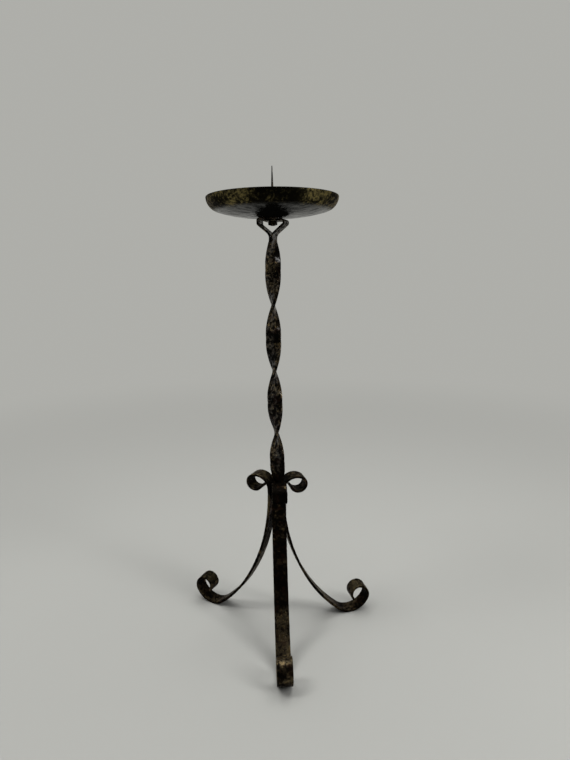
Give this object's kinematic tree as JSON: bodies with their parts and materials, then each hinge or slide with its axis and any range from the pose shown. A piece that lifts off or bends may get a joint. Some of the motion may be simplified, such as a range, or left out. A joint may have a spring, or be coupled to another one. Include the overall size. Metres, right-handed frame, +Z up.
{
  "type": "candle stand",
  "caption": "Wrought-iron torchere candle stand: a twisted strip stem on three scrolled legs carries a dished drip pan with an upright candle spike.",
  "frame": {"origin": "on the stem's axis at floor level", "axes": "+Z up, -Y towards the front leg, +X to the right as seen from the front"},
  "size_m": [0.2128, 0.1816, 0.505],
  "materials": {
    "black_iron": "blackened, hammered, mottled brown patina",
    "patinated_sheet": "gold-brown mottled wall, satin grey underside",
    "dark_steel": "darkened steel",
    "weld_metal": "dark, slightly rough"
  },
  "bodies": {
    "root": {"stem_strip_left": "black_iron", "stem_strip_right": "black_iron", "drip_pan": "patinated_sheet", "spike": "dark_steel", "pan_nut": "dark_steel", "leg_front": "black_iron", "leg_right": "black_iron", "leg_left": "black_iron", "weld_front_inner": "weld_metal", "weld_front_outer": "weld_metal", "weld_left_inner": "weld_metal", "weld_left_outer": "weld_metal"}
  },
  "joints": []
}
